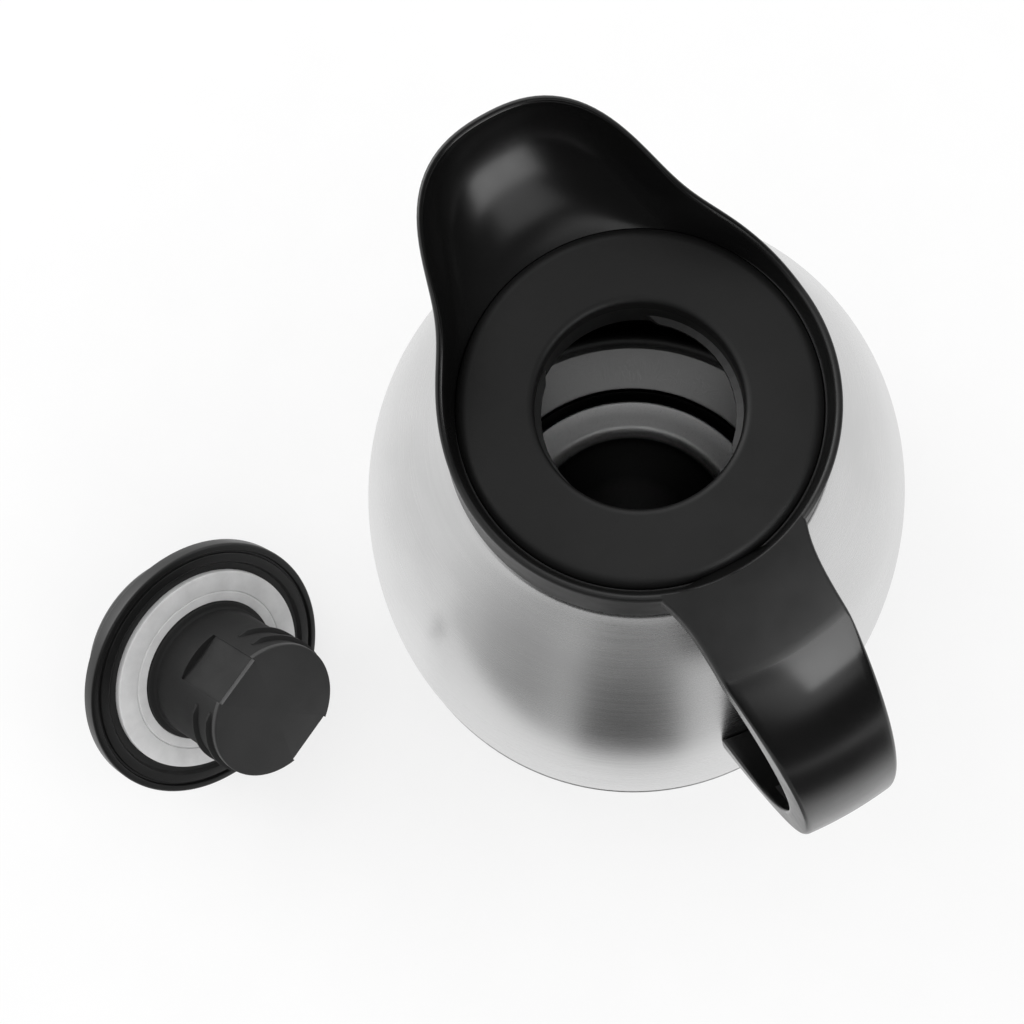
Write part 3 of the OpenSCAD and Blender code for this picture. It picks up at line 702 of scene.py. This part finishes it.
def emission_over(m, shade, colour):
    """Surface that is colour where shade is 1 and clear where it is 0."""
    clear = m.node("ShaderNodeBsdfTransparent")
    glow = m.node("ShaderNodeEmission")
    if hasattr(colour, "links"):
        m.link(colour, glow.inputs["Color"])
    else:
        glow.inputs["Color"].default_value = grey(colour)
    mix = m.node("ShaderNodeMixShader")
    m.link(shade, mix.inputs[0])
    m.link(clear.outputs[0], mix.inputs[1])
    m.link(glow.outputs[0], mix.inputs[2])
    m.link(mix.outputs[0], m.tree.nodes["Material Output"].inputs["Surface"])


def floor_material():
    """Pale matte floor; seen directly or mirrored it is white, with the jug's faint shadow."""
    m = Mat("floor_mat", Roughness=0.9)
    m.bsdf.inputs["Specular IOR Level"].default_value = 0.0
    speck = m.noise(m.coords(), 40.0, 4.0)
    m.link(m.ramp(speck, [(0.3, 0.79), (0.7, 0.81)]), m.bsdf.inputs["Base Color"])
    path = m.node("ShaderNodeLightPath")
    seen = m.math("MAXIMUM", path.outputs["Is Camera Ray"],
                  m.math("MAXIMUM", path.outputs["Is Glossy Ray"],
                         path.outputs["Is Transmission Ray"]))
    glow = m.node("ShaderNodeEmission")
    glow.inputs["Strength"].default_value = 1.0
    pale = m.node("ShaderNodeBsdfDiffuse")
    m.link(m.ramp(speck, [(0.3, 0.97), (0.7, 1.0)]), pale.inputs["Color"])
    white = m.node("ShaderNodeMixShader")
    white.inputs[0].default_value = 0.32
    m.link(glow.outputs[0], white.inputs[1])
    m.link(pale.outputs[0], white.inputs[2])
    mix = m.node("ShaderNodeMixShader")
    m.link(seen, mix.inputs[0])
    m.link(m.bsdf.outputs[0], mix.inputs[1])
    m.link(white.outputs[0], mix.inputs[2])
    m.link(mix.outputs[0], m.tree.nodes["Material Output"].inputs["Surface"])
    return m.mat


def mirrored_shade_material():
    """Painted shade of the floor in front of the jug, a dark sheet that only reflections show:
    soft edges, and denser and thinner bands by turn, which is zero straight down the picture and
    positive to its right."""
    m = Mat("mirrored_shade_mat")
    m.tree.nodes.remove(m.bsdf)
    x, y, _ = m.xyz()
    turn = m.math("ARCTAN2", x, m.math("MULTIPLY", y, -1.0))
    around = m.map(turn, math.radians(-90), math.radians(90), 0.0, 1.0)
    bands = [(-66, 0.0), (-50, 0.35), (-40, 0.58), (-28, 0.64), (-21, 0.50), (-17, 0.50),
             (-12, 0.92), (9, 0.90), (15, 0.3), (26, 0.22), (34, 0.0)]
    dense = m.ramp(around, [((deg + 90) / 180, v) for deg, v in bands], "B_SPLINE")
    near = m.map(y, -0.092, -0.122, 0.0, 1.0, "SMOOTHSTEP")
    far = m.map(y, -0.16, -0.40, 1.0, 0.82)
    shade = m.math("MULTIPLY", m.math("MULTIPLY", dense, near), far)
    # farther out the painted shade is dense to the right too; only the strap's end mirrors that part
    window = m.math("MULTIPLY", m.map(turn, 0.0, 0.3, 0.0, 1.0),
                    m.map(turn, 0.75, 0.95, 1.0, 0.0))
    outer = m.math("MULTIPLY", m.map(m.distance(x, y), 0.25, 0.42, 0.0, 0.97), window)
    # painted shade: near-black where the mask is dense, clear over the floor elsewhere
    emission_over(m, m.math("MAXIMUM", shade, outer), 0.02)
    return m.mat


def card_material(half):
    """White bounce card: lit on the side that faces the jug, clear from behind, soft at its ends."""
    m = Mat("card_mat")
    m.tree.nodes.remove(m.bsdf)
    x, y, _ = m.xyz()
    turn = m.math("ABSOLUTE", m.math("ARCTAN2", y, x))
    ends = m.map(turn, math.radians(half), math.radians(half - 9), 0.0, 1.0, "SMOOTHSTEP")
    front = m.math("SUBTRACT", 1.0, m.node("ShaderNodeNewGeometry").outputs["Backfacing"])
    fleck = m.ramp(m.noise(m.coords(), 60.0, 3.0), [(0.3, 0.93), (0.7, 0.98)])
    emission_over(m, m.math("MULTIPLY", ends, front), fleck)
    return m.mat


def only_mirrored(obj):
    """Hides obj from everything but reflections."""
    obj.visible_camera = obj.visible_diffuse = False
    obj.visible_transmission = obj.visible_shadow = False


FAR = 3000.0
QUAD = [(0, 1, 2, 3)]
RIGHT_TURN = math.atan2(RIGHT.y, RIGHT.x)
floor_obj = add_object("floor", [(-FAR, -FAR, 0), (FAR, -FAR, 0), (FAR, FAR, 0), (-FAR, FAR, 0)],
                       QUAD, floor_material())
# Painted shade of the floor in front of the jug, on a sheet that only reflections show
shade_sheet = add_object("front_mirrored_shade", [(-700, -1400, 0), (700, -1400, 0), (700, -90, 0), (-700, -90, 0)],
                  QUAD, mirrored_shade_material())
shade_sheet.matrix_world = Matrix.Translation((0, 0, 0.0004)) @ Matrix.Rotation(RIGHT_TURN, 4, "Z")
only_mirrored(shade_sheet)

# The card stands between the jug and the stopper, so that the steel mirrors white there. Its
# faces look at the axis, so it goes without finish_mesh, which could turn them.
CARD_R, CARD_TOP, CARD_HALF, CARD_TURN, CARD_STEPS = 86, 150.0, 26.0, -104.5, 24
rail = [(CARD_R * math.cos(w), CARD_R * math.sin(w)) for w in
        (math.radians(-CARD_HALF + 2 * CARD_HALF * i / CARD_STEPS) for i in range(CARD_STEPS + 1))]
mesh = bpy.data.meshes.new("bounce_card")
mesh.from_pydata([(x * MM, y * MM, z * MM) for z in (1.0, CARD_TOP) for x, y in rail], [],
                 [(i, CARD_STEPS + 1 + i, CARD_STEPS + 2 + i, i + 1) for i in range(CARD_STEPS)])
mesh.materials.append(card_material(CARD_HALF))
card = bpy.data.objects.new("bounce_card", mesh)
bpy.context.scene.collection.objects.link(card)
card.matrix_world = Matrix.Rotation(math.radians(CARD_TURN), 4, "Z")
only_mirrored(card)

world = bpy.data.worlds.new("studio")
bpy.context.scene.world = world
world.use_nodes = True
wt = world.node_tree
wt.nodes.clear()
link = wt.links.new


def wnode(kind, **props):
    n = wt.nodes.new(kind)
    for k, v in props.items():
        setattr(n, k, v)
    return n


def compass(deg):
    """Place on the compass ramp; 0 is the picture's right, 90 its top."""
    return (deg + 180) / 360


w_out = wnode("ShaderNodeOutputWorld")
w_mix = wnode("ShaderNodeMixShader")
w_soft, w_seen = wnode("ShaderNodeBackground"), wnode("ShaderNodeBackground")
w_soft.inputs["Color"].default_value = grey(1.0)
w_soft.inputs["Strength"].default_value = 0.86
# The room as shiny parts mirror it: pale walls behind and at the left, dark in front and above
w_coord = wnode("ShaderNodeTexCoord")
w_turn = wnode("ShaderNodeMapping")
w_turn.inputs["Rotation"].default_value[2] = -RIGHT_TURN
w_sep = wnode("ShaderNodeSeparateXYZ")
w_angle = wnode("ShaderNodeMath", operation="ARCTAN2")
w_place = wnode("ShaderNodeMapRange")
for key, v in zip(("From Min", "From Max", "To Min", "To Max"), (-math.pi, math.pi, 0.0, 1.0)):
    w_place.inputs[key].default_value = v
WALLS = [(-180, 1.1), (-150, 0.8), (-128, 0.05), (-72, 0.02), (10, 0.03), (35, 0.35),
         (60, 1.0), (100, 1.7), (155, 1.9), (180, 1.1)]
w_walls = wnode("ShaderNodeValToRGB")
fill_ramp(w_walls, [(compass(deg), v) for deg, v in WALLS])
# How much of the ceiling shows, by the sine of the height above the horizon
w_over = wnode("ShaderNodeValToRGB")
fill_ramp(w_over, [(0.75, 0.0), (0.93, 0.65), (0.985, 1.0)])
CEILING = 0.10
w_room = wnode("ShaderNodeMix", data_type="RGBA")
w_path = wnode("ShaderNodeLightPath")
w_cam = wnode("ShaderNodeMix", data_type="RGBA")
w_either = wnode("ShaderNodeMath", operation="MAXIMUM")
w_any = wnode("ShaderNodeMath", operation="MAXIMUM")
link(w_coord.outputs["Generated"], w_turn.inputs["Vector"])
link(w_turn.outputs["Vector"], w_sep.inputs[0])
link(w_sep.outputs["Y"], w_angle.inputs[0])
link(w_sep.outputs["X"], w_angle.inputs[1])
link(w_angle.outputs[0], w_place.inputs["Value"])
link(w_place.outputs["Result"], w_walls.inputs["Fac"])
link(w_sep.outputs["Z"], w_over.inputs["Fac"])
link(w_over.outputs["Color"], w_room.inputs[0])
link(w_walls.outputs["Color"], w_room.inputs[6])
w_room.inputs[7].default_value = grey(CEILING)
link(w_path.outputs["Is Camera Ray"], w_cam.inputs[0])
link(w_room.outputs[2], w_cam.inputs[6])
w_cam.inputs[7].default_value = grey(1.0)
link(w_cam.outputs[2], w_seen.inputs["Color"])
link(w_path.outputs["Is Camera Ray"], w_either.inputs[0])
link(w_path.outputs["Is Glossy Ray"], w_either.inputs[1])
link(w_either.outputs[0], w_any.inputs[0])
link(w_path.outputs["Is Transmission Ray"], w_any.inputs[1])
link(w_any.outputs[0], w_mix.inputs[0])
link(w_soft.outputs[0], w_mix.inputs[1])
link(w_seen.outputs[0], w_mix.inputs[2])
link(w_mix.outputs[0], w_out.inputs["Surface"])


def area_lamp(name, direction, distance, size, power, target=(0, -0.04, 0.11)):
    """Softbox that looks at target from a direction given as (right, up, height) in the picture."""
    a, b, c = direction
    d = (RIGHT * a + UP * b + Vector((0, 0, c))).normalized()
    data = bpy.data.lights.new(name, "AREA")
    data.shape, data.size, data.size_y, data.energy = "RECTANGLE", size[0], size[1], power
    lamp = bpy.data.objects.new(name, data)
    bpy.context.scene.collection.objects.link(lamp)
    lamp.location = Vector(target) + d * distance
    lamp.rotation_euler = (-d).to_track_quat("-Z", "Y").to_euler()
    return lamp


area_lamp("softbox_right", (0.94, -0.34, 1.25), 1.2, (0.9, 0.75), 2.2).visible_glossy = False
area_lamp("softbox_left", (-0.87, 0.50, 0.45), 1.3, (0.9, 0.6), 4.0)
# Shine only: a tall box beyond the strap, a small one over the handle for the spout, and one
# that reaches the vessel's floor through the mouth
SPOUT, VESSEL_FLOOR = (-0.05, 0, 0.213), (0, 0, 0.02)
for shine in (
        area_lamp("shine_strap", (0.32, -0.33, 0.50), 0.68, (0.17, 0.30), 0.21),
        area_lamp("shine_spout", (0.0785, -0.0935, 0.028), 0.123, (0.044, 0.050), 0.024, SPOUT),
        area_lamp("shine_mouth", (0.0, -0.242, 0.970), 1.2, (0.5, 0.26), 0.42, VESSEL_FLOOR)):
    shine.visible_camera = shine.visible_diffuse = False


# Camera fitted to the photo: its focal length and the point straight below it, in pixels of a
# picture PIXELS wide, and its place in millimetres
PIXELS, FOCAL, BELOW, PLACE = 1024, 1820.5, (103.5, -301.6), (70.3, -46.3, 578.6)
cam_data = bpy.data.cameras.new("camera")
cam_data.sensor_width, cam_data.lens = 36.0, FOCAL / PIXELS * 36
cam_data.clip_start = 0.01
camera = bpy.data.objects.new("camera", cam_data)
bpy.context.scene.collection.objects.link(camera)
# Straight down as the camera sees it fixes its tilt; the picture's axes fix its turn.
down = Vector((*BELOW, FOCAL)).normalized()
up = -down
ex = (Vector((1, 0, 0)) - up * up.x).normalized()
ey = Vector((0, 1, 0)) - up * up.y
ey = (ey - ex * ey.dot(ex)).normalized()


def to_part(v):
    """Camera vector (right, up, forward) to the part's frame."""
    return RIGHT * v.dot(ex) + UP * v.dot(ey) + Vector((0, 0, v.dot(up)))


cols = [to_part(Vector(v)) for v in ((1, 0, 0), (0, 1, 0), (0, 0, 1))]
rot = Matrix((cols[0], cols[1], -cols[2])).transposed().to_4x4()
camera.matrix_world = Matrix.Translation(Vector(PLACE) * MM) @ rot
bpy.context.scene.camera = camera
bpy.context.scene.view_settings.view_transform = "Standard"
